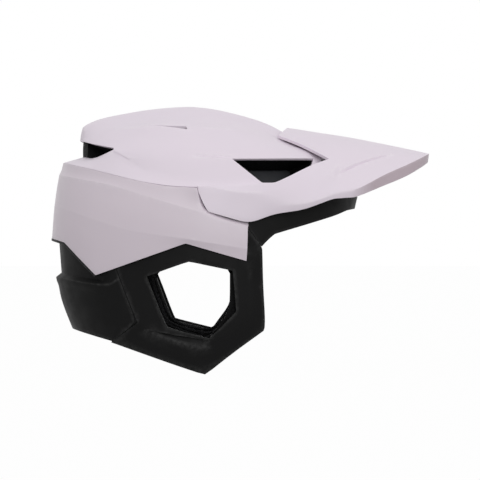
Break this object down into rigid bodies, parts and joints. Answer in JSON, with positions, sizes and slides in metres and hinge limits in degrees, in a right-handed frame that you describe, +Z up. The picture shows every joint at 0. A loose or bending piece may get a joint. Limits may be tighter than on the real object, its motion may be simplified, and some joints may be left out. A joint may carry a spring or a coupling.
{
  "type": "bicycle helmet",
  "caption": "Open-face trail helmet with ear guards round the ear openings, a fixed peak, foam liners, comfort pads, a dial-fit cradle and a buckled chin strap.",
  "frame": {"origin": "under the middle of the helmet's box, level with the guards' lowest corners", "axes": "+X forward along the peak, +Y to the wearer's left, +Z up"},
  "size_m": [0.3543, 0.2104, 0.245],
  "materials": {
    "pale_crown": "satin",
    "pale_side": "satin",
    "black_shell": "satin",
    "black_foam": "matte",
    "grey_slip": "satin",
    "soft_plug": "matte",
    "pad_fabric": "matte",
    "fit_nylon": "matte",
    "dial_rubber": "matte",
    "webbing": "matte",
    "fitting_nylon": "satin"
  },
  "bodies": {
    "helmet": {"crown_shell": "pale_crown", "peak": "pale_crown", "side_shell": "pale_side", "brow_frame": "black_shell", "guard_right": "black_shell", "guard_left": "black_shell", "rear_guard": "black_shell", "liner_crown": "black_foam", "liner_rear": "black_foam", "liner_brow": "black_foam", "liner_cheek_right": "black_foam", "liner_cheek_left": "black_foam", "liner_neck": "black_foam", "slip_liner": "grey_slip", "slip_anchors": "soft_plug", "brow_pad": "pad_fabric", "crown_pad": "pad_fabric", "side_pads": "pad_fabric", "ear_pad_right": "pad_fabric", "ear_pad_left": "pad_fabric", "fit_band": "fit_nylon", "cradle_guide": "fit_nylon", "chin_strap_right": "webbing", "chin_strap_left": "webbing", "rear_strap_right": "webbing", "rear_strap_left": "webbing", "peak_pegs": "fitting_nylon", "strap_dividers": "fitting_nylon", "strap_anchors": "fitting_nylon", "buckle_socket": "fitting_nylon"},
    "carrier": {"carrier": "fit_nylon"},
    "cradle": {"cradle": "fit_nylon", "cradle_pads": "pad_fabric", "dial_housing": "fit_nylon", "tie_right": "fit_nylon", "tie_left": "fit_nylon"},
    "dial": {"fit_dial": "dial_rubber"},
    "tongue": {"buckle_tongue": "fitting_nylon"}
  },
  "joints": [
    {"name": "cradle_height", "type": "slide", "parent": "helmet", "child": "carrier", "axis": [0, 0, 1], "range_m": [-0.008, 0.008], "deforming": ["tie_right", "tie_left"]},
    {"name": "cradle_tension", "type": "slide", "parent": "carrier", "child": "cradle", "axis": [1, 0, 0], "range_m": [0, 0.008], "deforming": ["tie_right", "tie_left"]},
    {"name": "dial_turn", "type": "hinge", "parent": "cradle", "child": "dial", "pos_m": [-0.15, 0, 0.08], "axis": [1, 0, 0], "range_deg": [0, 720]},
    {"name": "tongue_release", "type": "slide", "parent": "helmet", "child": "tongue", "axis": [0, 1, 0], "range_m": [0, 0.026], "deforming": ["chin_strap_left"]}
  ],
  "couplings": [
    {"joint": "dial_turn", "follows": "cradle_tension", "rad_per_m": 1570.6}
  ]
}
